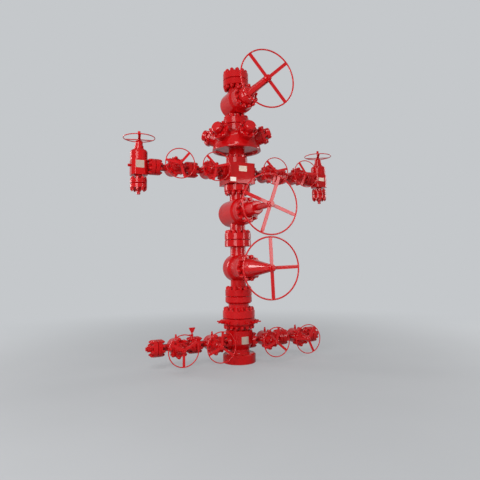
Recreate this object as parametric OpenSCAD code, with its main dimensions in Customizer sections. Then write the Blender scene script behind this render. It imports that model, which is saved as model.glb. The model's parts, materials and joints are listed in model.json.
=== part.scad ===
// Oil wellhead valve stack: tubing head, two master valves, flow cross with two
// wings and chokes, six outlet head, swab valve and tree cap, all flanged together.
// Origin: centre of the base flange's lower face, +Z up. The wings lie along X and
// every wheel of the valves faces -Y.

/* [Stack flanges] */
// Outside diameter of a main flange
flange_d = 394; // [370:1:410]
// Thickness of a main flange
flange_t = 98; // [85:1:105]
// Gap that shows between two bolted flanges
pair_gap = 6; // [3:0.5:8]
// Bevel on the edge of a main flange
flange_bevel = 7; // [3:0.5:10]
// Diameter of the neck behind a main flange
neck_d = 228; // [200:1:250]
// Radius of the fillet between a flange and its neck
neck_fillet = 16; // [8:1:22]

/* [Tubing head] */
// Outside diameter of the base flange
base_d = 478; // [460:1:500]
// Thickness of the base flange
base_t = 132; // [110:1:140]
// Distance from the base flange's rim to the middle of its bolt holes
base_bolt_inset = 35; // [33:1:44]
// Diameter of a bolt hole in the base flange
base_hole_d = 38; // [34:1:42]
// Number of bolts in a large flange
bolt_count = 16; // [12:4:16]
// Height of the tubing head
head_h = 633; // [620:1:660]
// Diameter of the waist above the base flange
waist_d = 300; // [270:1:310]
// Diameter of the tubing head's body
body_d = 396; // [380:1:404]
// Height of the shoulder where the body ends
shoulder_z = 461; // [445:1:468]
// Diameter of the throat between the shoulder and the top flange
throat_d = 316; // [290:1:330]
// Depth of the top flange of the tubing head
top_flange_t = 118; // [105:1:125]
// Outside diameter of the top flange
top_flange_d = 478; // [460:1:490]
// Height of the annulus outlets' centre line
annulus_z = 300; // [290:1:312]
// Distance from the axis to the spot face of an annulus outlet
annulus_pad_x = 160; // [152:1:170]
// Number of lock screws round the top flange
screw_count = 12; // [8:2:12]
// Reach of a lock screw's tip from the axis
screw_reach = 325; // [310:1:340]

/* [Adapter] */
// Height of the adapter
adapter_h = 312; // [300:1:330]
// Thickness of the adapter's lower flange
adapter_flange_t = 110; // [100:1:120]
// Diameter of the adapter's neck
adapter_neck_d = 304; // [290:1:312]

/* [Master and swab valves] */
// Length of a master valve from face to face
master_l = 831; // [800:1:860]
// Length of the swab valve from face to face
swab_l = 718; // [690:1:760]
// Diameter of the lower master valve's round body
ball_d = 416; // [400:1:430]
// Distance that the round body reaches behind the axis before it closes
ball_rear = 60; // [40:1:80]
// Diameter of the barrel body of the upper master and swab valves
barrel_d = 408; // [390:1:420]
// Reach of the upper master's barrel behind the stack's axis
master_rear = 318; // [290:1:330]
// Reach of the swab valve's barrel behind the stack's axis
swab_rear = 206; // [190:1:230]
// Rounding of a barrel's rear edge
rear_round = 70; // [50:1:90]
// Distance from the axis to the face where the bonnet is bolted on
bonnet_face = 296; // [285:1:310]
// Diameter of a bonnet flange
bonnet_flange_d = 366; // [350:1:380]
// Thickness of each of the two bonnet flanges
bonnet_flange_t = 64; // [52:1:72]
// Distance from the axis to the plane of a large wheel
wheel_plane = 1042; // [1020:1:1080]

/* [Large wheels] */
// Outside diameter of a large wheel
wheel_d = 822; // [760:1:824]
// Diameter of the rod that the rim is bent from
rim_d = 21; // [18:1:26]
// Width of a flat spoke
spoke_w = 46; // [38:1:52]
// Thickness of a flat spoke
spoke_t = 12; // [8:1:16]
// Diameter of the wheel's hub
hub_d = 92; // [80:1:100]
// Length of the wheel's hub
hub_l = 62; // [50:1:70]
// Diameter of the stem that the wheel turns
stem_d = 44; // [36:1:50]
// Length of the stem inside the bonnet
stem_in = 70; // [50:1:90]
// Clear distance between a hub and the nose of its bonnet
hub_gap = 6; // [5:0.5:10]
// Running clearance round a stem, on the radius
stem_play = 0.05; // [0.02:0.01:0.1]

/* [Flow cross] */
// Width and depth of the cross block
block_w = 420; // [410:1:440]
// Height of the cross block
block_h = 318; // [310:1:330]
// Height of the wings above the block's lower face
wing_rise = 187; // [178:1:192]
// Bevel on the upright edges of the block
block_bevel = 14; // [6:1:24]

/* [Six outlet head] */
// Height of the head from face to face
outlet_head_h = 617; // [600:1:640]
// Outside diameter of the head's lower flange
head_flange_d = 326; // [310:1:340]
// Diameter of the head's lower rim
rim_skirt_d = 744; // [700:2:760]
// Height of the lower rim above the head's lower face
rim_z = 210; // [195:1:220]
// Height of the skirt's wall
skirt_h = 170; // [150:1:185]
// Diameter of the skirt at its upper edge
skirt_top_d = 698; // [670:2:720]
// Rounding of the skirt's shoulder
shoulder_round = 84; // [60:1:95]
// Number of outlets
outlet_count = 6; // [4:1:6]
// Rise of an outlet's axis above the horizontal
outlet_tilt = 20; // [16:1:24]
// Diameter of an outlet's boss
outlet_boss_d = 248; // [230:1:256]
// Diameter of an outlet's blind flange
outlet_flange_d = 286; // [270:1:296]
// Distance along an outlet's axis to the face of its boss
outlet_face = 409; // [400:1:420]
// Thickness of an outlet's blind flange
outlet_flange_t = 42; // [34:1:50]
// Diameter of the plug on a blind flange
plug_d = 174; // [150:1:190]

/* [Small valves] */
// Length of a small valve from face to face
small_l = 534; // [505:1:560]
// Outside diameter of a small flange
small_flange_d = 232; // [225:1:244]
// Thickness of a small flange
small_flange_t = 58; // [50:1:64]
// Diameter of a small valve's neck
small_neck_d = 98; // [90:1:116]
// Diameter of a small valve's body
small_body_d = 214; // [200:1:222]
// Distance from the axis to a small valve's bonnet joint
small_bonnet_face = 132; // [126:1:140]
// Diameter of a small bonnet flange
small_bonnet_d = 236; // [224:1:244]
// Diameter of the circle of bolt lobes round a small bonnet flange
lobe_pcd = 236; // [224:1:244]
// Diameter of one bolt lobe
lobe_d = 50; // [42:1:56]
// Number of bolt lobes
lobe_count = 8; // [6:2:10]
// Thickness of each of the two small bonnet flanges
small_bonnet_t = 32; // [26:1:36]
// Distance from the axis to the plane of a small wheel
small_wheel_plane = 366; // [358:1:400]
// Outside diameter of a small wheel
small_wheel_d = 425; // [390:1:440]
// Diameter of the rod of a small rim
small_rim_d = 14; // [11:1:18]
// Width of a small wheel's spoke
small_spoke_w = 34; // [26:1:38]
// Thickness of a small wheel's spoke
small_spoke_t = 9; // [6:1:12]
// Diameter of a small wheel's hub
small_hub_d = 58; // [50:1:64]
// Length of a small wheel's hub
small_hub_l = 40; // [34:1:46]
// Diameter of a small stem
small_stem_d = 28; // [22:1:32]
// Length of a small stem inside its bonnet
small_stem_in = 46; // [36:1:56]

/* [Chokes] */
// Distance from a wing's last face to the choke's axis
choke_offset = 220; // [205:1:232]
// Width and depth across the flats of the choke's block
choke_block_w = 226; // [210:1:240]
// Diameter of the choke's round body
choke_body_d = 258; // [244:1:270]
// Diameter of the choke's upper body
choke_upper_d = 238; // [224:1:250]
// Height of the choke's lower block
choke_block_h = 215; // [200:1:235]
// Height of the choke's upper body
choke_upper_h = 151; // [140:1:170]
// Rounding of the upper body's shoulder
choke_round = 46; // [34:1:56]
// Height of the choke's bonnet
choke_bonnet_h = 124; // [112:1:136]
// Diameter of the choke's bonnet
choke_bonnet_d = 124; // [110:1:132]
// Outside diameter of the choke's wheel
choke_wheel_d = 447; // [420:1:470]
// Length of stem that shows between bonnet and choke wheel
choke_stem_h = 6; // [5:1:16]
// Rise of the choke wheel's rim above its hub
choke_dish = 24; // [16:1:32]
// Length of the threaded stem above the choke wheel's hub
choke_screw_h = 117; // [104:1:126]

/* [Hidden] */
$fn = 72;
paint = "#c8141a";
paint_wheel = "#cf2226";

// Levels of the joints between the pieces of the stack
adapter_z = head_h;
lower_master_z = adapter_z + adapter_h;
upper_master_z = lower_master_z + master_l;
cross_z = upper_master_z + master_l;
outlet_head_z = cross_z + block_h;
swab_z = outlet_head_z + outlet_head_h;
cap_z = swab_z + swab_l;
wing_z = cross_z + wing_rise;

// Places of the small valves and chokes along X
wing_inner_x = block_w / 2 + small_l / 2;
wing_outer_x = wing_inner_x + small_l;
wing_end_x = wing_outer_x + small_l / 2;
choke_x = wing_end_x + choke_offset;
annulus_inner_x = annulus_pad_x + small_l / 2;
annulus_outer_x = annulus_inner_x + small_l;
annulus_end_x = annulus_outer_x + small_l / 2;

flange_r = flange_d / 2;
neck_r = neck_d / 2;
raised_r = flange_r * 0.72;
small_flange_r = small_flange_d / 2;
small_neck_r = small_neck_d / 2;
small_raised_r = small_flange_r * 0.66;
small_bevel = 4;
small_fillet = 12;

// Points of an arc from angle a0 to a1 round a centre
function arc(centre, r, a0, a1, steps = 8) =
    [for (i = [0:steps])
        let (a = a0 + (a1 - a0) * i / steps)
        [centre.x + r * cos(a), centre.y + r * sin(a)]];

// Outline of a flange that stands on its mating face, with a neck rising from it
function flange_outline(r, t, face_r, edge, neck, fillet, top) = concat(
    [[0, 0], [face_r, 0], [face_r, pair_gap / 2], [r - edge, pair_gap / 2],
     [r, pair_gap / 2 + edge], [r, pair_gap / 2 + t - edge], [r - edge, pair_gap / 2 + t]],
    arc([neck + fillet, pair_gap / 2 + t + fillet], fillet, 270, 180),
    [[neck, top], [0, top]]);

module main_flange(top, neck = neck_r) {
    rotate_extrude()
        polygon(flange_outline(flange_r, flange_t, raised_r, flange_bevel,
                               neck, neck_fillet, top));
}

module small_flange(top) {
    rotate_extrude()
        polygon(flange_outline(small_flange_r, small_flange_t, small_raised_r, small_bevel,
                               small_neck_r, small_fillet, top));
}

// Turns a piece made along +Z so that it points along -Y
module facing_front() {
    rotate([90, 0, 0]) children();
}

// A solid of revolution with softly bevelled ends
module turned(r, h, edge = 4) {
    rotate_extrude()
        polygon([[0, 0], [r - edge, 0], [r, edge], [r, h - edge], [r - edge, h], [0, h]]);
}

// Levels and radii of the tubing head's outline
top_flange_r = top_flange_d / 2;
top_flange_low = head_h - pair_gap / 2 - top_flange_t;
top_flange_face = head_h - pair_gap / 2;
top_chamfer_w = 36;
top_chamfer_h = 42;
base_pcd = base_d - 2 * base_bolt_inset;
waist_rise = 62;
body_rise = 132;
waist_top = base_t + waist_rise;
body_low = base_t + body_rise;
shoulder_edge = 8;
spot_face_play = 6;

// Outline of the tubing head, from the base flange up to its top face
tubing_head_outline = concat(
    [[0, 0], [base_d / 2 - flange_bevel, 0], [base_d / 2, flange_bevel],
     [base_d / 2, base_t - 2 * flange_bevel],
     [base_d / 2 - 3 * flange_bevel, base_t]],
    arc([waist_d / 2 + neck_fillet, base_t + neck_fillet], neck_fillet, 270, 180),
    [[waist_d / 2, waist_top]],
    arc([body_d / 2 - neck_fillet, body_low + neck_fillet], neck_fillet, -40, 0, 4),
    [[body_d / 2, shoulder_z - shoulder_edge], [body_d / 2 - shoulder_edge, shoulder_z]],
    arc([throat_d / 2 + neck_fillet, shoulder_z + neck_fillet], neck_fillet, 270, 180),
    [[throat_d / 2, top_flange_low],
     [top_flange_r - top_chamfer_w, top_flange_low],
     [top_flange_r, top_flange_low + top_chamfer_h],
     [top_flange_r, top_flange_face - flange_bevel],
     [top_flange_r - flange_bevel, top_flange_face],
     [raised_r, top_flange_face], [raised_r, head_h], [0, head_h]]);

// Tubing head: each annulus valve seats in a round spot face milled into the body
module tubing_head() {
    color(paint)
    difference() {
        rotate_extrude() polygon(tubing_head_outline);
        for (side = [-1, 1])
            translate([side * annulus_pad_x, 0, annulus_z])
                rotate([0, side * 90, 0])
                    cylinder(r = small_flange_r + spot_face_play, h = body_d);
        for (i = [0:bolt_count - 1])
            rotate([0, 0, (i + 0.5) * 360 / bolt_count])
                translate([base_pcd / 2, 0, -1])
                    cylinder(d = base_hole_d, h = base_t + 2);
    }
}

// Lock screws, their gland nuts and the clearance of a piece seated on a round face
screw_z = head_h - pair_gap / 2 - top_flange_t * 0.44;
screw_gland_r = 21;
screw_pin_r = 10;
seat_gap = 0.3;

// Lock screws with their gland nuts, all round the top flange
module lockdown_screws() {
    seat = top_flange_d / 2 + seat_gap;
    color(paint)
    for (i = [0:screw_count - 1])
        rotate([0, 0, i * 360 / screw_count])
            translate([seat, 0, screw_z])
                rotate([0, 90, 0]) {
                    cylinder(r = screw_gland_r, h = 40, $fn = 6);
                    cylinder(r = screw_pin_r, h = screw_reach - seat);
                }
}

// Adapter between the tubing head and the lower master valve
module head_adapter() {
    low = pair_gap / 2;
    high = adapter_h - low - flange_t;
    neck = adapter_neck_d / 2;
    rim = top_flange_r - 2;
    color(paint)
    rotate_extrude()
        polygon(concat(
            [[0, 0], [raised_r, 0], [raised_r, low], [rim - flange_bevel, low],
             [rim, low + flange_bevel], [rim, adapter_flange_t - flange_bevel],
             [rim - flange_bevel, adapter_flange_t]],
            arc([neck + neck_fillet, adapter_flange_t + neck_fillet], neck_fillet, 270, 180),
            [[neck, high], [flange_r - adapter_chamfer, high], [flange_r, high + adapter_chamfer],
             [flange_r, adapter_h - low - flange_bevel],
             [flange_r - flange_bevel, adapter_h - low],
             [raised_r, adapter_h - low], [raised_r, adapter_h], [0, adapter_h]]));
}

adapter_chamfer = 22;

// Body flange that a big bonnet is bolted to, and the throat behind it
module bonnet_seat(throat_r) {
    facing_front() {
        cylinder(r = throat_r, h = bonnet_face - 4);
        translate([0, 0, bonnet_face - bonnet_flange_t])
            turned(bonnet_flange_d / 2, bonnet_flange_t, 6);
    }
}

ball_throat_r = 150;
ball_front = 44;
ball_front_round = 100;
barrel_throat_r = 160;
rear_dome = 12;

// Lower master valve: two flanges and a round body that is longer along its stem
module ball_valve_body(length) {
    mid = length / 2;
    main_flange(mid);
    translate([0, 0, length]) mirror([0, 0, 1]) main_flange(mid);
    translate([0, 0, mid]) {
        bonnet_seat(ball_throat_r);
        facing_front()
            rotate_extrude()
                polygon(concat(
                    arc([0, -ball_rear], ball_d / 2, -90, 0, 14),
                    arc([ball_d / 2 - ball_front_round, ball_front], ball_front_round, 0, 50, 5),
                    [[ball_throat_r + 10, bonnet_face - bonnet_flange_t],
                     [0, bonnet_face - bonnet_flange_t]]));
    }
}

// Valve with a barrel body lying along the stem, closed by a rounded rear end
module barrel_valve_body(length, rear) {
    mid = length / 2;
    main_flange(mid);
    translate([0, 0, length]) mirror([0, 0, 1]) main_flange(mid);
    translate([0, 0, mid]) {
        bonnet_seat(barrel_throat_r);
        facing_front()
            rotate_extrude()
                polygon(concat(
                    [[0, -rear - rear_dome], [barrel_d / 2 - rear_round, -rear]],
                    arc([barrel_d / 2 - rear_round, -rear + rear_round], rear_round, -75, 0, 6),
                    [[barrel_d / 2, bonnet_face - bonnet_flange_t - 46],
                     [barrel_throat_r + 14, bonnet_face - bonnet_flange_t],
                     [0, bonnet_face - bonnet_flange_t]]));
    }
}

nose_end = wheel_plane - hub_l / 2 - hub_gap;

// Bonnet turned from one outline, with the bore that carries the stem
module bonnet(outline, reach, play_r, bore_l) {
    facing_front()
        difference() {
            rotate_extrude() polygon(outline);
            translate([0, 0, reach - bore_l])
                cylinder(r = play_r, h = bore_l + 1);
        }
}

big_flat = bonnet_face + bonnet_flange_t;
big_bonnet_r = bonnet_flange_d / 2;

// First points of a large bonnet's outline: its flange, up to the flat face
bonnet_flange_outline = [
    [0, bonnet_face], [big_bonnet_r - 6, bonnet_face], [big_bonnet_r, bonnet_face + 6],
    [big_bonnet_r, big_flat - 6], [big_bonnet_r - 6, big_flat]];

cone_foot_r = 138;
cone_mid_r = 122;
cone_nose_r = 52;

// Height above the bonnet's flange where its cone starts to narrow
cone_rise = 192;

// Bonnet that tapers in one long cone
module cone_bonnet() {
    color(paint)
    bonnet(
        concat(
            bonnet_flange_outline,
            [[cone_foot_r, big_flat]],
            arc([cone_mid_r - 40, big_flat + cone_rise], 40, 8, 40, 3),
            [[cone_nose_r + 8, nose_end - 84], [cone_nose_r, nose_end - 76],
             [cone_nose_r, nose_end - 4], [cone_nose_r - 4, nose_end], [0, nose_end]]),
        nose_end, stem_d / 2 + stem_play, stem_in + 4);
}

step_foot_r = 116;
step_r = 94;
step_end = 676;
step_nose_r = 44;
step_edge = 14;

// Bonnet with a thick barrel and a slim nose
module step_bonnet() {
    color(paint)
    bonnet(
        concat(
            bonnet_flange_outline,
            [[step_foot_r, big_flat], [step_r + 10, big_flat + 26]],
            arc([step_r - step_edge, step_end - step_edge], step_edge, 0, 90, 4),
            [[step_nose_r, step_end], [step_nose_r, nose_end - 4],
             [step_nose_r - 4, nose_end], [0, nose_end]]),
        nose_end, stem_d / 2 + stem_play, stem_in + 4);
}

dome_foot_r = 136;
dome_r = 84;
dome_low = 14;
dome_nose_r = 54;
dome_nose_z = 468;
dome_step_z = 690;

// Bonnet with a low dome and a long slim neck
module dome_bonnet() {
    color(paint)
    bonnet(
        concat(
            bonnet_flange_outline,
            [[dome_foot_r, big_flat]],
            arc([dome_foot_r - dome_r - 2, big_flat + dome_low], dome_r, 5, 75, 8),
            [[dome_nose_r, dome_nose_z], [dome_nose_r, dome_step_z],
             [dome_nose_r - 4, dome_step_z + 4], [dome_nose_r - 4, nose_end - 4],
             [dome_nose_r - 8, nose_end], [0, nose_end]]),
        nose_end, stem_d / 2 + stem_play, stem_in + 4);
}

// Hand wheel with its hub, nut and stem, made about +Z. A dished wheel has its rim
// above its hub, and its spokes climb to it
module hand_wheel(d, rod, spokes, turn, width, thick, boss_d, boss_l, shaft_d, shaft_l, dish = 0) {
    ring_r = (d - rod) / 2;
    root = boss_d / 2 - 6;
    reach = norm([ring_r - root, dish]);
    color(paint_wheel) {
        translate([0, 0, dish])
            rotate_extrude($fn = 96) translate([ring_r, 0]) circle(d = rod, $fn = 24);
        for (i = [0:spokes - 1])
            rotate([0, 0, turn + i * 360 / spokes])
                translate([root, 0, 0])
                    rotate([0, -atan2(dish, ring_r - root), 0])
                        translate([0, -width / 2, -thick / 2])
                            cube([reach, width, thick]);
        translate([0, 0, -boss_l / 2]) turned(boss_d / 2, boss_l, 4);
        translate([0, 0, boss_l / 2 - 1]) cylinder(r = boss_d * 0.33, h = boss_l * 0.3 + 1, $fn = 6);
        translate([0, 0, -boss_l / 2 - shaft_l]) cylinder(d = shaft_d, h = shaft_l + 1);
    }
}

// Large wheel in its place in front of a valve
module large_wheel(z, turn) {
    translate([0, -wheel_plane, z])
        facing_front()
            hand_wheel(wheel_d, rim_d, 4, turn, spoke_w, spoke_t,
                       hub_d, hub_l, stem_d, hub_gap + stem_in);
}

lower_stem_z = lower_master_z + master_l / 2;
upper_stem_z = upper_master_z + master_l / 2;
swab_stem_z = swab_z + swab_l / 2;

module lower_master_body() {
    color(paint) translate([0, 0, lower_master_z]) ball_valve_body(master_l);
}

module lower_master_bonnet() {
    translate([0, 0, lower_stem_z]) cone_bonnet();
}

module lower_master_wheel() {
    large_wheel(lower_stem_z, 2);
}

module upper_master_body() {
    color(paint) translate([0, 0, upper_master_z]) barrel_valve_body(master_l, master_rear);
}

module upper_master_bonnet() {
    translate([0, 0, upper_stem_z]) step_bonnet();
}

module upper_master_wheel() {
    large_wheel(upper_stem_z, -20);
}

module swab_body() {
    color(paint) translate([0, 0, swab_z]) barrel_valve_body(swab_l, swab_rear);
}

module swab_bonnet() {
    translate([0, 0, swab_stem_z]) dome_bonnet();
}

module swab_wheel() {
    large_wheel(swab_stem_z, 42);
}

// Cross block with its two wing faces
module flow_cross() {
    half = block_w / 2;
    color(paint)
    translate([0, 0, cross_z]) {
        cylinder(r = raised_r, h = block_h);
        translate([0, 0, pair_gap / 2])
            linear_extrude(height = block_h - pair_gap)
                polygon([
                    [block_bevel - half, -half], [half - block_bevel, -half],
                    [half, block_bevel - half], [half, half - block_bevel],
                    [half - block_bevel, half], [block_bevel - half, half],
                    [-half, half - block_bevel], [-half, block_bevel - half]]);
    }
}

// Levels of the outlet head
skirt_top = rim_z + skirt_h;
head_flange_low = outlet_head_h - pair_gap / 2 - flange_t;
head_neck_r = 122;
rim_edge = 5;
rim_band = 22;
rim_lip = 44;
rim_recess = 30;
shoulder_end_r = 214;

// Bell shaped head: a small lower flange, a wide open looking skirt with a rounded
// shoulder, six raised outlets and a full size flange on top
module outlet_head() {
    color(paint)
    translate([0, 0, outlet_head_z]) {
        rotate_extrude()
            polygon(flange_outline(head_flange_d / 2, flange_t, head_flange_d * 0.36, flange_bevel,
                                   head_neck_r, 10, rim_z + 40));
        rotate_extrude($fn = 96)
            polygon(concat(
                [[0, rim_z + rim_recess], [rim_skirt_d / 2 - rim_lip - 6, rim_z + rim_recess],
                 [rim_skirt_d / 2 - rim_lip, rim_z], [rim_skirt_d / 2 - rim_edge, rim_z],
                 [rim_skirt_d / 2, rim_z + rim_edge], [rim_skirt_d / 2, rim_z + rim_band],
                 [rim_skirt_d / 2 - 10, rim_z + 65]],
                arc([skirt_top_d / 2 - shoulder_round, skirt_top], shoulder_round, 0, 58, 10),
                [[shoulder_end_r, head_flange_low - 4], [flange_r, head_flange_low],
                 [flange_r, outlet_head_h - pair_gap / 2 - flange_bevel],
                 [flange_r - flange_bevel, outlet_head_h - pair_gap / 2],
                 [raised_r, outlet_head_h - pair_gap / 2], [raised_r, outlet_head_h],
                 [0, outlet_head_h]]));
        for_each_outlet()
            translate([0, 0, outlet_root])
                cylinder(d = outlet_boss_d, h = outlet_face - outlet_root);
    }
}

// Height where the outlets' axes meet, and the distance from there to a boss's root
outlet_centre_z = 304;
outlet_root = 230;

// Puts a piece made along +Z on each outlet's axis
module for_each_outlet() {
    for (i = [0:outlet_count - 1])
        rotate([0, 0, -90 + i * 360 / outlet_count])
            translate([0, 0, outlet_centre_z])
                rotate([0, 90 - outlet_tilt, 0])
                    children();
}

cap_neck_h = 34;
cap_disc_low = 42;
cap_disc_top = 92;
cap_top = 106;

// Blind flange and plug on each outlet
module outlet_caps() {
    flat = outlet_flange_t;
    color(paint)
    translate([0, 0, outlet_head_z])
        for_each_outlet()
            translate([0, 0, outlet_face])
                rotate_extrude()
                    polygon([
                        [0, 0], [outlet_flange_d / 2 - 4, 0], [outlet_flange_d / 2, 4],
                        [outlet_flange_d / 2, flat - 5], [outlet_flange_d / 2 - 5, flat], [66, flat],
                        [58, flat + cap_neck_h], [plug_d / 2 - 8, flat + cap_neck_h],
                        [plug_d / 2, flat + cap_disc_low], [plug_d / 2 - 4, flat + cap_disc_top],
                        [plug_d / 2 - 20, flat + cap_top], [0, flat + cap_top]]);
}

cap_hub_h = 50;

// Blind cap on top of the swab valve
module tree_cap() {
    low = pair_gap / 2;
    high = low + flange_t + 12;
    color(paint)
    translate([0, 0, cap_z])
        rotate_extrude()
            polygon([
                [0, 0], [raised_r, 0], [raised_r, low], [flange_r - flange_bevel, low],
                [flange_r, low + flange_bevel], [flange_r, high - flange_bevel],
                [flange_r - flange_bevel, high], [118, high], [104, high + cap_hub_h - 12],
                [92, high + cap_hub_h], [0, high + cap_hub_h]]);
}

lobe_proud = 1.5;

// Flange with bolt lobes round its edge, about +Z. The lobes stand a little proud of
// both of its faces
module lobed_flange(r, h) {
    translate([0, 0, lobe_proud]) turned(r, h - 2 * lobe_proud, 3);
    for (i = [0:lobe_count - 1])
        rotate([0, 0, i * 360 / lobe_count])
            translate([lobe_pcd / 2, 0, 0])
                cylinder(d = lobe_d, h = h, $fn = 32);
}

rear_share = 0.5;
grease_boss_d = 34;
grease_boss_h = 22;

// Small gate valve body lying along X, with its stem along -Y
module small_body(x, z) {
    half = small_l / 2;
    rear = small_body_d * rear_share;
    seat = small_bonnet_face - small_bonnet_t;
    color(paint)
    translate([x, 0, z]) {
        for (side = [-1, 1])
            translate([side * half, 0, 0])
                rotate([0, -side * 90, 0])
                    small_flange(half);
        facing_front() {
            rotate_extrude()
                polygon([[0, -rear], [small_body_d / 2 - 18, -rear], [small_body_d / 2, 18 - rear],
                         [small_body_d / 2, seat + 4], [0, seat + 4]]);
            translate([0, 0, seat]) lobed_flange(small_bonnet_d / 2, small_bonnet_t);
        }
        cylinder(d = grease_boss_d, h = small_body_d / 2 + grease_boss_h);
    }
}

small_nose_end = small_wheel_plane - small_hub_l / 2 - hub_gap;

// Bonnet of a small valve: lobed flange, shoulder and long nose
module small_bonnet(x, z) {
    flat = small_bonnet_face + small_bonnet_t;
    translate([x, 0, z]) facing_front()
        difference() {
            union() {
                translate([0, 0, small_bonnet_face]) lobed_flange(small_bonnet_d / 2, small_bonnet_t);
                rotate_extrude()
                    polygon([
                        [0, small_bonnet_face + 2], [78, small_bonnet_face + 2],
                        [70, flat + 26], [46, flat + 62], [46, flat + 92],
                        [38, flat + 98], [38, small_nose_end - 30], [34, small_nose_end],
                        [0, small_nose_end]]);
            }
            translate([0, 0, small_nose_end - small_stem_in - 4])
                cylinder(r = small_stem_d / 2 + stem_play, h = small_stem_in + 5);
        }
}

module small_wheel(x, z, turn) {
    translate([x, -small_wheel_plane, z])
        facing_front()
            hand_wheel(small_wheel_d, small_rim_d, 3, turn, small_spoke_w, small_spoke_t,
                       small_hub_d, small_hub_l, small_stem_d, hub_gap + small_stem_in);
}

module wing_bonnets() {
    color(paint)
    for (x = [-wing_outer_x, -wing_inner_x, wing_inner_x, wing_outer_x])
        small_bonnet(x, wing_z);
}

module annulus_bonnets() {
    color(paint)
    for (x = [-annulus_outer_x, -annulus_inner_x, annulus_inner_x, annulus_outer_x])
        small_bonnet(x, annulus_z);
}

// Companion flange with a bull plug at the end of an annulus row
module annulus_end(side) {
    color(paint)
    translate([side * annulus_end_x, 0, annulus_z])
        rotate([0, side * 90, 0]) {
            small_flange(small_flange_t + 24);
            translate([0, 0, small_flange_t]) turned(42, 74, 5);
            translate([0, 0, small_flange_t + 73]) turned(26, 22, 4);
        }
}

// Place of the needle valve, on the rim of the flange between the two left valves
needle_x = annulus_outer_x - small_l / 2 + pair_gap / 2 + small_flange_t / 2;
needle_body_h = 34;
needle_neck_h = 62;
needle_vane_h = 124;

// Needle valve with a fan shaped handle, standing on the left annulus row
module needle_valve() {
    color(paint)
    translate([-needle_x, 0, annulus_z + small_flange_r + seat_gap]) {
        cylinder(r = 19, h = needle_body_h, $fn = 6);
        cylinder(r = 10, h = needle_neck_h + 4);
        translate([0, 0, needle_body_h - 12])
            rotate([0, -90, 0]) cylinder(r = 9, h = 52);
        translate([0, 8, needle_neck_h])
            rotate([90, 0, 0])
                linear_extrude(height = 16)
                    polygon([
                        [-16, -6], [16, -6], [22, 8], [46, needle_vane_h - needle_neck_h - 8],
                        [40, needle_vane_h - needle_neck_h], [-40, needle_vane_h - needle_neck_h],
                        [-46, needle_vane_h - needle_neck_h - 8], [-22, 8]]);
    }
}

choke_low = -138;
choke_high = choke_low + choke_block_h;
choke_shoulder = choke_high + choke_upper_h;
choke_nose = choke_shoulder + choke_bonnet_h;
choke_hub_l = 30;
choke_hub_d = 50;
choke_stem_d = 28;
choke_wheel_z = choke_nose + choke_stem_h + choke_hub_l / 2;
choke_neck_l = 56;
choke_nub_r = 20;
choke_nub_l = 40;

// Choke body: round body with four milled flats, upper body with a rounded shoulder,
// the flanges that join it, and a plug on the outer side
module choke_body(side) {
    half = choke_block_w / 2;
    upper = choke_upper_d / 2;
    color(paint)
    translate([side * choke_x, 0, wing_z]) {
        intersection() {
            translate([-half, -half, choke_low - 1])
                cube([choke_block_w, choke_block_w, choke_block_h + 2]);
            translate([0, 0, choke_low]) turned(choke_body_d / 2, choke_block_h, 6);
        }
        translate([0, 0, choke_high - 2])
            rotate_extrude()
                polygon(concat(
                    [[0, 0], [upper, 0]],
                    arc([upper - choke_round, choke_upper_h + 2 - choke_round], choke_round, 0, 84, 6),
                    [[0, choke_upper_h + 2]]));
        translate([-side * choke_offset, 0, 0])
            rotate([0, side * 90, 0]) small_flange(choke_offset);
        translate([0, 0, choke_low - choke_neck_l - small_flange_t - pair_gap / 2])
            small_flange(choke_neck_l + small_flange_t + 20);
        translate([side * (half - 1), 0, 0])
            rotate([0, side * 90, 0]) turned(choke_nub_r, choke_nub_l, 4);
    }
}

choke_face_z = choke_low - choke_neck_l - small_flange_t - pair_gap / 2;

choke_plug_r = 38;
choke_plug_h = 46;
choke_tip_r = 25;
choke_tip_h = 46;

// Companion flange and plug under a choke
module choke_outlet(side) {
    color(paint)
    translate([side * choke_x, 0, wing_z + choke_face_z])
        mirror([0, 0, 1]) {
            small_flange(small_flange_t + 20);
            translate([0, 0, small_flange_t]) turned(choke_plug_r, choke_plug_h, 5);
            translate([0, 0, small_flange_t + choke_plug_h - 1]) turned(choke_tip_r, choke_tip_h, 4);
        }
}

// Choke bonnet that stands on the upper body
module choke_bonnet(side) {
    r = choke_bonnet_d / 2;
    color(paint)
    translate([side * choke_x, 0, wing_z + choke_shoulder])
        difference() {
            rotate_extrude()
                polygon([
                    [0, 0], [r + 8, 0], [r + 8, 14], [r, 20], [r, choke_bonnet_h * 0.4],
                    [r - 9, choke_bonnet_h * 0.48], [r - 11, choke_bonnet_h - 8],
                    [r - 19, choke_bonnet_h], [0, choke_bonnet_h]]);
            translate([0, 0, choke_bonnet_h - small_stem_in - 4])
                cylinder(r = choke_stem_d / 2 + stem_play, h = small_stem_in + 5);
        }
}

choke_nut_r = 20;
choke_nut_h = 52;

// Dished choke wheel, with the threaded stem and its end nut standing above the hub
module choke_wheel(side, turn) {
    translate([side * choke_x, 0, wing_z + choke_wheel_z]) {
        hand_wheel(choke_wheel_d, small_rim_d, 3, turn, small_spoke_w, small_spoke_t,
                   choke_hub_d, choke_hub_l, choke_stem_d, choke_stem_h + small_stem_in, choke_dish);
        color(paint_wheel) {
            cylinder(d = choke_stem_d, h = choke_screw_h);
            translate([0, 0, choke_screw_h - choke_nut_h])
                cylinder(r = choke_nut_r, h = choke_nut_h, $fn = 6);
        }
    }
}

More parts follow.
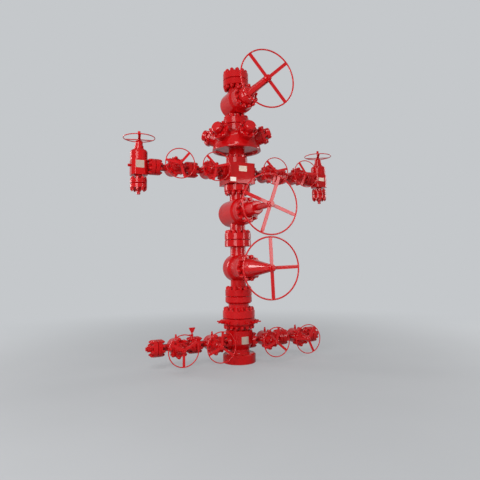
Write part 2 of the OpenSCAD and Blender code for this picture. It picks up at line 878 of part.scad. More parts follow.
tubing_head();
lockdown_screws();
translate([0, 0, adapter_z]) head_adapter();
lower_master_body();
lower_master_bonnet();
lower_master_wheel();
upper_master_body();
upper_master_bonnet();
upper_master_wheel();
flow_cross();
outlet_head();
outlet_caps();
swab_body();
swab_bonnet();
swab_wheel();
tree_cap();
small_body(-wing_outer_x, wing_z);  // wing_left_outer_body
small_body(-wing_inner_x, wing_z);  // wing_left_inner_body
small_body(wing_inner_x, wing_z);  // wing_right_inner_body
small_body(wing_outer_x, wing_z);  // wing_right_outer_body
wing_bonnets();
small_wheel(-wing_outer_x, wing_z, 50);  // wing_left_outer_wheel
small_wheel(-wing_inner_x, wing_z, 15);  // wing_left_inner_wheel
small_wheel(wing_inner_x, wing_z, 15);  // wing_right_inner_wheel
small_wheel(wing_outer_x, wing_z, 5);  // wing_right_outer_wheel
small_body(-annulus_outer_x, annulus_z);  // annulus_left_outer_body
small_body(-annulus_inner_x, annulus_z);  // annulus_left_inner_body
small_body(annulus_inner_x, annulus_z);  // annulus_right_inner_body
small_body(annulus_outer_x, annulus_z);  // annulus_right_outer_body
annulus_bonnets();
small_wheel(-annulus_outer_x, annulus_z, -90);  // annulus_left_outer_wheel
small_wheel(-annulus_inner_x, annulus_z, -35);  // annulus_left_inner_wheel
small_wheel(annulus_inner_x, annulus_z, -40);  // annulus_right_inner_wheel
small_wheel(annulus_outer_x, annulus_z, -65);  // annulus_right_outer_wheel
annulus_end(-1);  // annulus_left_end
annulus_end(1);  // annulus_right_end
needle_valve();
choke_body(-1);  // choke_left_body
choke_bonnet(-1);  // choke_left_bonnet
choke_wheel(-1, 20);  // choke_left_wheel
choke_outlet(-1);  // choke_left_outlet
choke_body(1);  // choke_right_body
choke_bonnet(1);  // choke_right_bonnet
choke_wheel(1, 0);  // choke_right_wheel
choke_outlet(1);  // choke_right_outlet
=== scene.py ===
"""Looks of a flanged oil wellhead valve stack: red enamel, studs, nuts, plates and fittings.

All sizes are in metres, in the frame's own coordinates: origin under the base flange,
+Z up, wings along X, valve wheels facing -Y.
"""

import json
import math

import bpy
import numpy as np
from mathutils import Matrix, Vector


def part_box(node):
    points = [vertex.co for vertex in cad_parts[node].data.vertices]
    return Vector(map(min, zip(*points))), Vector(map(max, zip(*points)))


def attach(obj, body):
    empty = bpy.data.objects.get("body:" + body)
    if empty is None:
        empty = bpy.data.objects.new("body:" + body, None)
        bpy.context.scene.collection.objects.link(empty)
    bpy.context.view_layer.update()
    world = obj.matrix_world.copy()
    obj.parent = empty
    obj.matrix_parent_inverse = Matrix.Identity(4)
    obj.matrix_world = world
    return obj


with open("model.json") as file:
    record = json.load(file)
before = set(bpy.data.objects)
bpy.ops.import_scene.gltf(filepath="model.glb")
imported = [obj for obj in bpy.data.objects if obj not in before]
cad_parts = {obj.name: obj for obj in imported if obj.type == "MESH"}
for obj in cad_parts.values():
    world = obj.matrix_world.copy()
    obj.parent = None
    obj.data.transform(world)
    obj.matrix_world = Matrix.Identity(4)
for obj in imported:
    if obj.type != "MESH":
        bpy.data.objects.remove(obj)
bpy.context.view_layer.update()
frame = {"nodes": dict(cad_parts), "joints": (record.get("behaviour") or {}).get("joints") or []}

STACK = "stack"

# Camera: place, the way it looks, and the lens that the photograph was taken with
PHOTO_PX = 480
CAMERA_DISTANCE = 6.7071
CAMERA_HEIGHT = 1.4165
CAMERA_AROUND = 24.574
CAMERA_TURN = 0.398
CAMERA_PITCH = 6.539
CAMERA_ROLL = -0.827
FOCAL_PX = 445.347
CENTRE_PX = (240.5, 213.0)
SENSOR_MM = 36.0


# ---------------------------------------------------------------- materials

# Enamel: distance between its slow tone shifts, and the size of the specks that break up its
# painted skylight sheen
TONE_SPACING = 0.35
SHEEN_SPECK = 0.03
SKYLIGHT_SHEEN_COLOUR = "#B98A80"
# Painted highlight of skylight on tops, in a lighter pinkish tint: it starts on faces whose
# normal rises this much, and covers level ones by this share at most
SHEEN_FROM = 0.75
SHEEN_SHARE = 0.22
# Roughness of the enamel under its coat, in its glossiest and its dullest patches
ENAMEL_GLOSSY = 0.22
ENAMEL_DULL = 0.34
COAT_ROUGHNESS = 0.05
PAINT_IOR = 1.5
# The coat alone mirrors the room: a stronger gloss below it washes grazing faces pink
UNDERCOAT_SPECULAR = 0.05
# Orange peel: its size in millimetres and its depth in metres
PEEL_MM = 5.0
PEEL_DEPTH = 0.0004

# Rolling streaks 0.8 mm apart, drawn about 30 times longer than wide
STREAKS_ALONG = 40.0
STREAKS_ACROSS = 1250.0
STREAK_DEPTH = 0.0002
# How much glossier and duller than the sheet a streak can be
STREAK_GLOSSIER = 0.08
STREAK_DULLER = 0.1

BACKGROUND = "#C5C8CB"
FLOOR_DARK = "#A2A3A5"
FLOOR_PALE = "#AAABAD"
# Distances at which the floor starts and ends to turn into the background
FADE_START = 2.0
FADE_END = 8.0
# Share of background in the floor nearer than that
FADE_NEAR = 0.45


def rgb(code):
    """sRGB hex turned to linear: c/12.92 below 0.04045, else ((c + 0.055)/1.055)^2.4."""
    srgb = [int(code[i:i + 2], 16) / 255 for i in (1, 3, 5)]
    linear = [c / 12.92 if c <= 0.04045 else ((c + 0.055) / 1.055) ** 2.4 for c in srgb]
    return (*linear, 1.0)


def add(tree, kind, inputs=None, links=None, **settings):
    """Adds one shader node with its settings, its socket values and what feeds its sockets."""
    made = tree.nodes.new(kind)
    for key, value in settings.items():
        setattr(made, key, value)
    for key, value in (inputs or {}).items():
        made.inputs[key].default_value = value
    for key, socket in (links or {}).items():
        tree.links.new(socket, made.inputs[key])
    return made


def blank_material(name):
    """A new material with only its output node, its node tree, and that node."""
    material = bpy.data.materials.new(name)
    material.use_nodes = True
    material.node_tree.nodes.clear()
    return material, material.node_tree, add(material.node_tree, "ShaderNodeOutputMaterial")


def object_place(tree):
    """The object's own coordinates, in metres."""
    return add(tree, "ShaderNodeTexCoord").outputs["Object"]


def combine(tree, operation, first, second):
    """The result of one math node on two sockets."""
    made = add(tree, "ShaderNodeMath", links={0: first, 1: second}, operation=operation)
    return made.outputs["Value"]


def enamel(name, colour, deep, grain_mm, grain_depth, coat):
    """Alkyd enamel sprayed on steel: a deep red gloss with slow shifts of tone, faint
    orange peel, and under it the grain of the casting or the bar."""
    material, tree, output = blank_material(name)
    place = object_place(tree)
    # Slow tone shifts, where the enamel lies thicker or thinner
    tone = add(tree, "ShaderNodeTexNoise", {"Scale": 1 / TONE_SPACING, "Detail": 3.0},
               {"Vector": place}).outputs["Fac"]
    toned = add(tree, "ShaderNodeMix", {"A": rgb(deep), "B": rgb(colour)}, {"Factor": tone},
                data_type="RGBA")
    # Dust lies on faces that look up
    # Painted highlight: faces that look up take a lighter pinkish sheen in specks, standing in for
    # skylight on tops
    normal = add(tree, "ShaderNodeNewGeometry").outputs["Normal"]
    up = add(tree, "ShaderNodeSeparateXYZ", links={"Vector": normal}).outputs["Z"]
    specks = add(tree, "ShaderNodeTexNoise", {"Scale": 1 / SHEEN_SPECK, "Detail": 4.0},
                 {"Vector": place})
    sheen_mask = add(tree, "ShaderNodeMapRange",
               {"From Min": SHEEN_FROM, "From Max": 1.0, "To Max": SHEEN_SHARE}, {"Value": up})
    sheen_amount = combine(tree, "MULTIPLY", sheen_mask.outputs["Result"], specks.outputs["Fac"])
    sheened = add(tree, "ShaderNodeMix", {"B": rgb(SKYLIGHT_SHEEN_COLOUR)},
                {"Factor": sheen_amount, "A": toned.outputs["Result"]}, data_type="RGBA")
    rough = add(tree, "ShaderNodeMapRange", {"To Min": ENAMEL_GLOSSY, "To Max": ENAMEL_DULL},
                {"Value": tone})
    # Grain of the metal, with the orange peel of the enamel over it
    grain = add(tree, "ShaderNodeTexNoise",
                {"Scale": 1000 / grain_mm, "Detail": 5.0, "Roughness": 0.6}, {"Vector": place})
    peel = add(tree, "ShaderNodeTexNoise", {"Scale": 1000 / PEEL_MM, "Detail": 1.0},
               {"Vector": place})
    grain_bump = add(tree, "ShaderNodeBump", {"Strength": 0.35, "Distance": grain_depth},
                     {"Height": grain.outputs["Fac"]})
    peel_bump = add(tree, "ShaderNodeBump", {"Strength": 0.25, "Distance": PEEL_DEPTH},
                    {"Height": peel.outputs["Fac"], "Normal": grain_bump.outputs["Normal"]})
    paint = add(tree, "ShaderNodeBsdfPrincipled",
                {"IOR": PAINT_IOR, "Specular IOR Level": UNDERCOAT_SPECULAR,
                 "Coat Weight": coat, "Coat Roughness": COAT_ROUGHNESS, "Coat IOR": PAINT_IOR},
                {"Base Color": sheened.outputs["Result"], "Roughness": rough.outputs["Result"],
                 "Normal": peel_bump.outputs["Normal"]})
    tree.links.new(paint.outputs["BSDF"], output.inputs["Surface"])
    return material


def plate_metal(name, colour, metallic, roughness):
    """Rolled sheet, cut to a plate: fine streaks along X that catch the light."""
    material, tree, output = blank_material(name)
    stretch = add(tree, "ShaderNodeMapping",
                  {"Scale": (STREAKS_ALONG, STREAKS_ALONG, STREAKS_ACROSS)},
                  {"Vector": object_place(tree)})
    streak = add(tree, "ShaderNodeTexNoise", {"Scale": 1.0, "Detail": 2.0},
                 {"Vector": stretch.outputs["Vector"]}).outputs["Fac"]
    rough = add(tree, "ShaderNodeMapRange",
                {"To Min": roughness - STREAK_GLOSSIER, "To Max": roughness + STREAK_DULLER},
                {"Value": streak})
    bump = add(tree, "ShaderNodeBump", {"Strength": 0.2, "Distance": STREAK_DEPTH},
               {"Height": streak})
    sheet = add(tree, "ShaderNodeBsdfPrincipled", {"Base Color": rgb(colour), "Metallic": metallic},
                {"Roughness": rough.outputs["Result"], "Normal": bump.outputs["Normal"]})
    tree.links.new(sheet.outputs["BSDF"], output.inputs["Surface"])
    return material


def seen_rays(tree):
    """1 for rays that show the background: straight from the camera, mirrored or refracted."""
    path = add(tree, "ShaderNodeLightPath").outputs
    bent = combine(tree, "MAXIMUM", path["Is Glossy Ray"], path["Is Transmission Ray"])
    return combine(tree, "MAXIMUM", path["Is Camera Ray"], bent)


def matt_floor():
    """Pale sealed floor: matt, with a very faint mottle, turning into the background with
    distance so that no horizon shows."""
    material, tree, output = blank_material("pale_floor")
    place = object_place(tree)
    mottle = add(tree, "ShaderNodeTexNoise", {"Scale": 1.2, "Detail": 4.0}, {"Vector": place})
    mottled = add(tree, "ShaderNodeMix", {"A": rgb(FLOOR_DARK), "B": rgb(FLOOR_PALE)},
                  {"Factor": mottle.outputs["Fac"]}, data_type="RGBA")
    face = add(tree, "ShaderNodeBsdfPrincipled", {"Roughness": 0.75},
               {"Base Color": mottled.outputs["Result"]})
    away = add(tree, "ShaderNodeVectorMath", links={0: place}, operation="LENGTH")
    fade = add(tree, "ShaderNodeMapRange",
               {"From Min": FADE_START, "From Max": FADE_END, "To Min": FADE_NEAR},
               {"Value": away.outputs["Value"]}, interpolation_type="SMOOTHSTEP")
    amount = combine(tree, "MULTIPLY", fade.outputs["Result"], seen_rays(tree))
    glow = add(tree, "ShaderNodeEmission", {"Color": rgb(BACKGROUND), "Strength": 1.0})
    blend = add(tree, "ShaderNodeMixShader",
                links={0: amount, 1: face.outputs["BSDF"], 2: glow.outputs["Emission"]})
    tree.links.new(blend.outputs["Shader"], output.inputs["Surface"])
    return material


# Colour of the thick and of the thin coat, spacing and depth of the grain, weight of the
# gloss. Cast bodies look bumpy under the enamel, turned flanges and bonnets nearly smooth,
# and the bars of the wheels and the nuts smoothest, with the sharpest glints. The plates
# are a dull silver or a soft white that stands out from the red.
CAST_RED = enamel("cast_steel_red_enamel", "#C00A0E", "#A8060A", 9.0, 0.0016, 0.34)
TURNED_RED = enamel("turned_steel_red_enamel", "#C40B10", "#B0070B", 22.0, 0.0006, 0.45)
BAR_RED = enamel("bar_steel_red_enamel", "#C81216", "#B60D11", 18.0, 0.0004, 0.5)
PLATE_METAL = plate_metal("rolled_aluminium_plate", "#BFAA9B", 0.85, 0.42)
PLATE_WHITE = plate_metal("white_lacquered_plate", "#F2E6DC", 0.0, 0.38)
FLOOR = matt_floor()


# ---------------------------------------------------------------- meshes

NUT_SIDES = 6
NUT_POINTS = 12
# Shares of a nut's width across its flats: its chamfer's height, and its top's radius
NUT_CHAMFER = 0.09
NUT_TOP = 0.46
# Shares of a stud's diameter: the bevel at its tip, and the tip's radius
STUD_BEVEL = 0.12
STUD_TIP = 0.37

# A plate's thickness, the radius and points of its corners, the foot of its bevel as a
# share of the thickness, the length that its edges are cut into and the rings of its face
PLATE_T = 0.0016
PLATE_CORNER = 0.006
CORNER_POINTS = 6
BEVEL_FOOT = 0.6
EDGE_STEP = 0.008
FACE_SHARES = (0.99, 0.85, 0.7, 0.55, 0.4, 0.25, 0.1)
# A plate's rivets: radius, rise and place from both edges; their domes stop short of a
# quarter turn, which leaves a small flat on top
RIVET_R = 0.004
RIVET_RISE = 0.0022
RIVET_INSET = 0.009
RIVET_SWEEP = 1.4
RIVET_RINGS = 5
RIVET_POINTS = 10


def mesh_piece(name, points, faces, material, body=STACK, sharp=35):
    """Makes one object from arrays of points and faces, smooth but for its sharp edges."""
    mesh = bpy.data.meshes.new(name)
    mesh.from_pydata(np.asarray(points).tolist(), [], faces)
    mesh.polygons.foreach_set("use_smooth", np.ones(len(mesh.polygons), bool))
    mesh.set_sharp_from_angle(angle=math.radians(sharp))
    mesh.materials.append(material)
    piece = bpy.data.objects.new(name, mesh)
    bpy.context.scene.collection.objects.link(piece)
    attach(piece, body)
    return piece


def ring_faces(rings, around, first=0):
    """Faces of a closed stack of rings, each with the same number of points, capped at
    both ends with one polygon."""
    index = np.arange(rings * around).reshape(rings, around) + first
    low, high = index[:-1], index[1:]
    quads = np.stack([low, np.roll(low, -1, 1), np.roll(high, -1, 1), high], -1).reshape(-1, 4)
    return quads.tolist() + [index[0][::-1].tolist(), index[-1].tolist()]


def axes_for(direction):
    """Three unit vectors as rows: two across the direction, and itself. The first is level
    unless the direction is near upright."""
    w = np.array(direction, float)
    w /= np.linalg.norm(w)
    helper = np.array([0.0, 0.0, 1.0]) if abs(w[2]) < 0.9 else np.array([1.0, 0.0, 0.0])
    u = np.cross(helper, w)
    u /= np.linalg.norm(u)
    return np.array([u, np.cross(w, u), w])


def revolve(profile, around):
    """Points of a profile of (radius, height) pairs carried round an upright axis: x and y
    are the radius times the cosine and sine of the turn."""
    angle = np.arange(around) * 2 * math.pi / around
    profile = np.array(profile, float)
    return np.stack([profile[:, :1] * np.cos(angle), profile[:, :1] * np.sin(angle),
                     np.repeat(profile[:, 1:], around, 1)], -1).reshape(-1, 3)


def nut_rings(across, height, stud_d, stud_out):
    """Rings of a hex nut with the end of its stud: a hexagon's radius is half the width
    across flats over the cosine of the angle from the nearest flat's middle, cut back to
    a circle at the chamfer; the stud is a circle with a bevelled tip."""
    angle = np.arange(NUT_POINTS) * 2 * math.pi / NUT_POINTS
    step = 2 * math.pi / NUT_SIDES
    off = (angle + step / 2) % step - step / 2
    hexagon = across / 2 / np.cos(off)
    circle = np.ones(NUT_POINTS)
    stud = circle * stud_d / 2
    stack = [(0.0, hexagon), (height - across * NUT_CHAMFER, hexagon),
             (height, circle * across * NUT_TOP), (height, stud),
             (height + stud_out - stud_d * STUD_BEVEL, stud),
             (height + stud_out, circle * stud_d * STUD_TIP)]
    return np.array([np.stack([r * np.cos(angle), r * np.sin(angle), np.full(NUT_POINTS, z)], -1)
                     for z, r in stack])


def bolt_circle(name, centre, direction, pcd, count, across, height, stud_d, stud_out, first=0.5):
    """One mesh of nuts on studs, spaced evenly round a circle, each turned to face its
    own radius. The circle's own axis is the direction that the studs point, and first is
    the share of a step at which the first one stands."""
    rings = nut_rings(across, height, stud_d, stud_out)
    nut = rings.reshape(-1, 3) + np.array([pcd / 2, 0, 0])
    axes = axes_for(direction)
    points = []
    faces = []
    for i in range(count):
        spin = (i + first) * 2 * math.pi / count
        turn = np.array([[math.cos(spin), -math.sin(spin), 0],
                         [math.sin(spin), math.cos(spin), 0],
                         [0, 0, 1]])
        faces += ring_faces(len(rings), NUT_POINTS, i * len(nut))
        points.append(nut @ turn.T @ axes + np.array(centre))
    return mesh_piece(name, np.concatenate(points), faces, BAR_RED)


def plate(name, centre, width, height, material, bend=None):
    """A bare plate that faces -Y: a rounded rectangle in rings (foot, edge, bevel, and the
    face in even shares towards the middle), with four rivet heads. Where a bend radius is
    given it is wrapped round the upright axis: x is the radius times the sine of the arc's
    angle, and y the radius times its cosine."""
    arc = np.linspace(0, math.pi / 2, CORNER_POINTS)
    corners = [(1, 1, 0), (-1, 1, 1), (-1, -1, 2), (1, -1, 3)]
    corner_points = np.concatenate([
        np.stack([sx * (width / 2 - PLATE_CORNER) + PLATE_CORNER * np.cos(arc + k * math.pi / 2),
                  sz * (height / 2 - PLATE_CORNER) + PLATE_CORNER * np.sin(arc + k * math.pi / 2)],
                 -1)
        for sx, sz, k in corners])
    # Every straight edge is cut into short lengths, so that a bent plate stays on its cylinder
    outline = []
    for here, there in zip(corner_points, np.roll(corner_points, -1, 0)):
        parts = max(1, round(np.linalg.norm(there - here) / EDGE_STEP))
        outline += [here + (there - here) * i / parts for i in range(parts)]
    outline = np.array(outline)
    levels = [(1.0, 0.0), (1.0, PLATE_T * BEVEL_FOOT)] + [(s, PLATE_T) for s in FACE_SHARES]
    flat = np.concatenate([np.column_stack([outline * share, np.full(len(outline), lift)])
                           for share, lift in levels])
    faces = ring_faces(len(levels), len(outline))
    sweep = np.linspace(0, RIVET_SWEEP, RIVET_RINGS)
    dome = np.stack([RIVET_R * np.cos(sweep), RIVET_RISE * np.sin(sweep) + PLATE_T], -1)
    rivet = revolve(dome, RIVET_POINTS)
    for sx, sz, _ in corners:
        faces += ring_faces(RIVET_RINGS, RIVET_POINTS, len(flat))
        corner = [sx * (width / 2 - RIVET_INSET), sz * (height / 2 - RIVET_INSET), 0]
        flat = np.concatenate([flat, rivet + corner])
    x, z, lift = flat.T
    if bend:
        turn = (x + centre[0]) / bend
        points = np.stack([(bend + lift) * np.sin(turn),
                           centre[1] - (bend + lift) * np.cos(turn), centre[2] + z], -1)
    else:
        points = np.stack([centre[0] + x, centre[1] - lift, centre[2] + z], -1)
    return mesh_piece(name, points, faces, material)


# ---------------------------------------------------------------- pieces

# Flanges of the stack's own joints and of the small valves, and the raised face that
# keeps each pair apart
MAIN_FLANGE_T = 0.098
SMALL_FLANGE_T = 0.058
RAISED = 0.003
# From the joint over the tubing head to where the nuts under it start, which is inside the
# flange because its lower edge is cut away there
HEAD_NUTS_BELOW = 0.104
# Thickness of the adapter's lower flange and of the blind cap
ADAPTER_FLANGE_T = 0.107
CAP_T = 0.110
# From a valve's axis to the face that its bonnet is bolted on, and the bonnet's flange
BONNET_FACE = 0.296
BONNET_FLANGE_T = 0.064
SMALL_BONNET_FACE = 0.132
SMALL_BONNET_T = 0.032

# Nuts on their studs: diameter of the bolt circle, how many, width across flats, height,
# and the stud's diameter and how far it stands out
MAIN_NUTS = dict(pcd=0.3225, count=12, across=0.0556, height=0.036, stud_d=0.035, stud_out=0.012)
HEAD_NUTS = dict(pcd=0.408, count=16, across=0.045, height=0.036, stud_d=0.030, stud_out=0.012)
CROSS_TOP_NUTS = dict(MAIN_NUTS, pcd=0.262, count=8, across=0.050)
SMALL_NUTS = dict(pcd=0.184, count=8, across=0.040, height=0.026, stud_d=0.025, stud_out=0.014)
BONNET_NUTS = dict(pcd=0.326, count=12, across=0.050, height=0.034, stud_d=0.032, stud_out=0.012)
SMALL_BONNET_NUTS = dict(pcd=0.236, count=8, across=0.036, height=0.024, stud_d=0.022,
                         stud_out=0.010, first=0)
OUTLET_NUTS = dict(pcd=0.238, count=8, across=0.038, height=0.026, stud_d=0.024, stud_out=0.010)

# Outlets of the outlet head: how many, their tilt in degrees, the height over the head's
# foot at which their axes meet, and from there to a boss's face and through its flange
OUTLET_COUNT = 6
OUTLET_TILT = 20.0
OUTLET_CENTRE = 0.304
OUTLET_SEAT = 0.409 + 0.042

# Bare plates, placed and sized from the photograph: name, x and height of the middle,
# width, height and metal
CROSS_PLATES = (("cross_plate", 0.005, 2.829, 0.130, 0.084, PLATE_METAL),
                ("cross_small_plate", -0.156, 2.661, 0.094, 0.062, PLATE_WHITE))
HEAD_PLATE = ("head_plate", 0.007, 0.330, 0.112, 0.105, PLATE_METAL)
CHOKE_PLATES = (("choke_left_plate", -1.505, 2.800, 0.115, 0.105, PLATE_METAL),
                ("choke_right_plate", 1.478, 2.783, 0.109, 0.055, PLATE_METAL))
# Radius of the tubing head's body, and a choke's front flat from the wing's centre line
HEAD_BODY_R = 0.198
CHOKE_FLAT = 0.113

# A grease fitting's outline as (radius, height): round foot, neck and cap; and the height
# of the boss that it stands on over its valve's centre line
GREASE_PROFILE = ((0.0150, 0), (0.0150, 0.012), (0.0100, 0.014), (0.0100, 0.019),
                  (0.0130, 0.021), (0.0130, 0.032), (0.0070, 0.037))
GREASE_POINTS = 12
GREASE_BOSS = 0.129


def paint_frame():
    """Gives every CAD node the enamel of how it was made: cast, turned or bent from bar."""
    cast = ("body", "flow_cross", "outlet_head", "tubing_head")
    for name, node in frame["nodes"].items():
        if name.endswith("wheel"):
            material = BAR_RED
        elif name.endswith(cast):
            material = CAST_RED
        else:
            material = TURNED_RED
        for holder in node.material_slots:
            holder.material = material


def joint_place(joint):
    """Place of a joint's axis, from the frame."""
    return np.array(next(j["pos_m"] for j in frame["joints"] if j["name"] == joint))


def small_valves():
    """Name of each small valve and the place of its stem's axis, row by row."""
    for row in ("wing", "annulus"):
        for spot in ("left_outer", "left_inner", "right_inner", "right_outer"):
            yield f"{row}_{spot}", joint_place(f"{row}_{spot}_turn")


def main_joint(name, z, below=MAIN_FLANGE_T, above=MAIN_FLANGE_T, nuts=MAIN_NUTS):
    """Nuts under and over one joint of the stack; a side of None has no nuts."""
    if below is not None:
        bolt_circle(name + "_lower_nuts", (0, 0, z - RAISED - below), (0, 0, -1), **nuts)
    if above is not None:
        bolt_circle(name + "_upper_nuts", (0, 0, z + RAISED + above), (0, 0, 1), **nuts)


def stack_bolting():
    """Studs and nuts of the stack's own joints, from the tubing head to the tree cap. The
    photograph shows some joints with nuts on one side only. Their studs probably end in
    tapped holes on the other side."""
    top_z = {n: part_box(n)[1].z
             for n in ("tubing_head", "head_adapter", "lower_master_body", "upper_master_body",
                       "flow_cross", "outlet_head", "swab_body")}
    main_joint("head_joint", top_z["tubing_head"], HEAD_NUTS_BELOW, ADAPTER_FLANGE_T, HEAD_NUTS)
    main_joint("adapter_joint", top_z["head_adapter"], below=None)
    main_joint("master_joint", top_z["lower_master_body"], below=None)
    main_joint("cross_joint", top_z["upper_master_body"], above=None)
    main_joint("outlet_head_joint", top_z["flow_cross"], below=None, nuts=CROSS_TOP_NUTS)
    main_joint("swab_joint", top_z["outlet_head"], below=None)
    main_joint("cap_joint", top_z["swab_body"], above=CAP_T)


def small_joint(name, centre, direction, both=True):
    """Nuts of a small flanged joint on the side that the direction points to, or on both."""
    centre = np.array(centre)
    direction = np.array(direction, float)
    reach = RAISED + SMALL_FLANGE_T
    bolt_circle(name + "_nuts", centre + direction * reach, direction, **SMALL_NUTS)
    if both:
        bolt_circle(name + "_far_nuts", centre - direction * reach, -direction, **SMALL_NUTS)


def wing_bolting():
    """Studs and nuts along both wings, both annulus rows and under the chokes."""
    for row in ("wing", "annulus"):
        for side, sign in (("left", -1), ("right", 1)):
            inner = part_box(f"{row}_{side}_inner_body")
            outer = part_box(f"{row}_{side}_outer_body")
            near = min(abs(inner[0].x), abs(inner[1].x))
            middle = min(abs(outer[0].x), abs(outer[1].x))
            far = max(abs(outer[0].x), abs(outer[1].x))
            z = joint_place(f"{row}_{side}_inner_turn")[2]
            for spot, x, both in (("near", near, False), ("middle", middle, True),
                                  ("far", far, True)):
                small_joint(f"{row}_{side}_{spot}_joint", (sign * x, 0, z), (sign, 0, 0), both)
    for side in ("left", "right"):
        low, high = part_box(f"choke_{side}_outlet")
        small_joint(f"choke_{side}_joint", ((low.x + high.x) / 2, 0, high.z), (0, 0, 1))


def bonnet_bolting():
    """Studs and nuts on the bonnets of the large and the small valves."""
    for valve in ("lower_master", "upper_master", "swab"):
        x, _, z = joint_place(valve + "_turn")
        bolt_circle(valve + "_bonnet_nuts", (x, -BONNET_FACE - BONNET_FLANGE_T, z), (0, -1, 0),
                    **BONNET_NUTS)
    for valve, (x, _, z) in small_valves():
        bolt_circle(valve + "_bonnet_nuts", (x, -SMALL_BONNET_FACE - SMALL_BONNET_T, z),
                    (0, -1, 0), **SMALL_BONNET_NUTS)


def outlet_bolting():
    """Studs and nuts round each plug of the outlet head."""
    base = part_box("outlet_head")[0].z
    tilt = math.radians(OUTLET_TILT)
    for i in range(OUTLET_COUNT):
        turn = math.radians(-90 + i * 360 / OUTLET_COUNT)
        way = np.array([math.cos(turn) * math.cos(tilt), math.sin(turn) * math.cos(tilt),
                        math.sin(tilt)])
        centre = np.array([0, 0, base + OUTLET_CENTRE]) + way * OUTLET_SEAT
        bolt_circle(f"outlet_{i + 1}_nuts", centre, way, **OUTLET_NUTS)


def plates():
    """Bare plates on the cross, the tubing head and both chokes."""
    cross_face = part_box("flow_cross")[0].y
    for name, x, z, width, height, metal in CROSS_PLATES:
        plate(name, (x, cross_face, z), width, height, metal)
    name, x, z, width, height, metal = HEAD_PLATE
    plate(name, (x, 0, z), width, height, metal, bend=HEAD_BODY_R)
    for name, x, z, width, height, metal in CHOKE_PLATES:
        plate(name, (x, -CHOKE_FLAT, z), width, height, metal)


def grease_fittings():
    """A grease fitting on top of each small valve body."""
    fitting = revolve(GREASE_PROFILE, GREASE_POINTS) @ axes_for((0, 0, 1))
    faces = ring_faces(len(GREASE_PROFILE), GREASE_POINTS)
    for valve, (x, _, z) in small_valves():
        mesh_piece(valve + "_grease_fitting", fitting + np.array([x, 0, z + GREASE_BOSS]), faces,
                   BAR_RED)


paint_frame()
stack_bolting()
wing_bolting()
bonnet_bolting()
outlet_bolting()
plates()
grease_fittings()


# ---------------------------------------------------------------- stage, light and camera

FLOOR_HALF = 30.0

# Dim world light, and a soft sun from the upper left in front, tilted about X and Y by
# these degrees
WORLD_COLOUR = "#DCE0E6"
WORLD_STRENGTH = 0.05
SUN_STRENGTH = 0.8
SUN_SPREAD = 0.3
SUN_TILT = (38, -22)
# White window panels: name, place, width, height and watts, all aimed at one point
PANELS = (("left_window", (-5.3, -5.1, 3.6), 3.6, 5.0, 450),
          ("right_window", (3.8, -6.5, 2.7), 1.9, 2.7, 125),
          ("rear_left_window", (-6.0, 5.5, 3.6), 1.8, 5.0, 340),
          ("rear_right_window", (7.5, 1.0, 3.4), 1.6, 5.0, 200))
PANEL_TARGET = (0, 0, 2.2)


def stage_floor():
    """A wide pale floor that the base flange stands on."""
    corners = [(x * FLOOR_HALF, y * FLOOR_HALF, 0) for x, y in ((-1, -1), (1, -1), (1, 1), (-1, 1))]
    mesh = bpy.data.meshes.new("floor")
    mesh.from_pydata(corners, [], [(0, 1, 2, 3)])
    mesh.materials.append(FLOOR)
    floor = bpy.data.objects.new("floor", mesh)
    bpy.context.scene.collection.objects.link(floor)


def set_axes(thing, right, up, back, place):
    """Places a lamp or the camera by its three axes. Blender reads the nested list of a
    matrix column by column."""
    columns = np.array([right, up, back, place]).T
    thing.matrix_world = np.vstack([columns, [0, 0, 0, 1]]).T.tolist()


def soft_panel(name, place, width, height, watts):
    """A soft white rectangular light at a place, aimed at the middle of the stack."""
    light = bpy.data.lights.new(name, "AREA")
    light.shape = "RECTANGLE"
    light.size = width
    light.size_y = height
    light.energy = watts
    lamp = bpy.data.objects.new(name, light)
    bpy.context.scene.collection.objects.link(lamp)
    back = np.array(place, float) - np.array(PANEL_TARGET, float)
    back /= np.linalg.norm(back)
    right = np.cross([0, 0, 1.0], back)
    right /= np.linalg.norm(right)
    set_axes(lamp, right, np.cross(back, right), back, place)


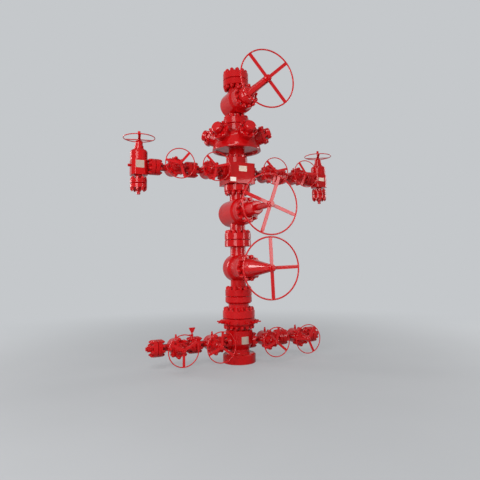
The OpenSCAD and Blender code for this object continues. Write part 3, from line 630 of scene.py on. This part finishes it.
def studio_light():
    """A dim even world behind a pale background, tall window panels on the left, in front
    on the right and behind on both sides, and a soft sun from the upper left."""
    world = bpy.data.worlds.new("pale_studio")
    world.use_nodes = True
    bpy.context.scene.world = world
    tree = world.node_tree
    tree.nodes.clear()
    light = add(tree, "ShaderNodeBackground",
                {"Color": rgb(WORLD_COLOUR), "Strength": WORLD_STRENGTH})
    seen = add(tree, "ShaderNodeBackground", {"Color": rgb(BACKGROUND), "Strength": 1.0})
    mix = add(tree, "ShaderNodeMixShader",
              links={0: seen_rays(tree), 1: light.outputs["Background"],
                     2: seen.outputs["Background"]})
    add(tree, "ShaderNodeOutputWorld", links={"Surface": mix.outputs["Shader"]})
    for panel in PANELS:
        soft_panel(*panel)
    sun = bpy.data.lights.new("skylight", "SUN")
    sun.energy = SUN_STRENGTH
    sun.angle = SUN_SPREAD
    lamp = bpy.data.objects.new("skylight", sun)
    bpy.context.scene.collection.objects.link(lamp)
    lamp.rotation_euler = (math.radians(SUN_TILT[0]), math.radians(SUN_TILT[1]), 0)


def photo_camera():
    """Camera at the photograph's place: it looks level along its heading, then is pitched
    up and rolled, and the shift puts the lens centre at the photograph's own centre."""
    around = math.radians(CAMERA_AROUND)
    heading = around + math.radians(CAMERA_TURN)
    pitch = math.radians(CAMERA_PITCH)
    roll = math.radians(CAMERA_ROLL)
    place = np.array([-CAMERA_DISTANCE * math.sin(around), -CAMERA_DISTANCE * math.cos(around),
                      CAMERA_HEIGHT])
    ahead = np.array([math.sin(heading) * math.cos(pitch), math.cos(heading) * math.cos(pitch),
                      math.sin(pitch)])
    level = np.array([math.cos(heading), -math.sin(heading), 0.0])
    upright = np.cross(level, ahead)
    right = level * math.cos(roll) + upright * math.sin(roll)
    up = upright * math.cos(roll) - level * math.sin(roll)
    lens = bpy.data.cameras.new("photo_camera")
    lens.sensor_width = SENSOR_MM
    lens.lens = FOCAL_PX / PHOTO_PX * SENSOR_MM
    lens.shift_x = -(CENTRE_PX[0] - PHOTO_PX / 2) / PHOTO_PX
    lens.shift_y = (CENTRE_PX[1] - PHOTO_PX / 2) / PHOTO_PX
    camera = bpy.data.objects.new("photo_camera", lens)
    bpy.context.scene.collection.objects.link(camera)
    set_axes(camera, right, up, -ahead, place)
    bpy.context.scene.camera = camera


stage_floor()
studio_light()
photo_camera()
bpy.context.scene.view_settings.view_transform = "Standard"
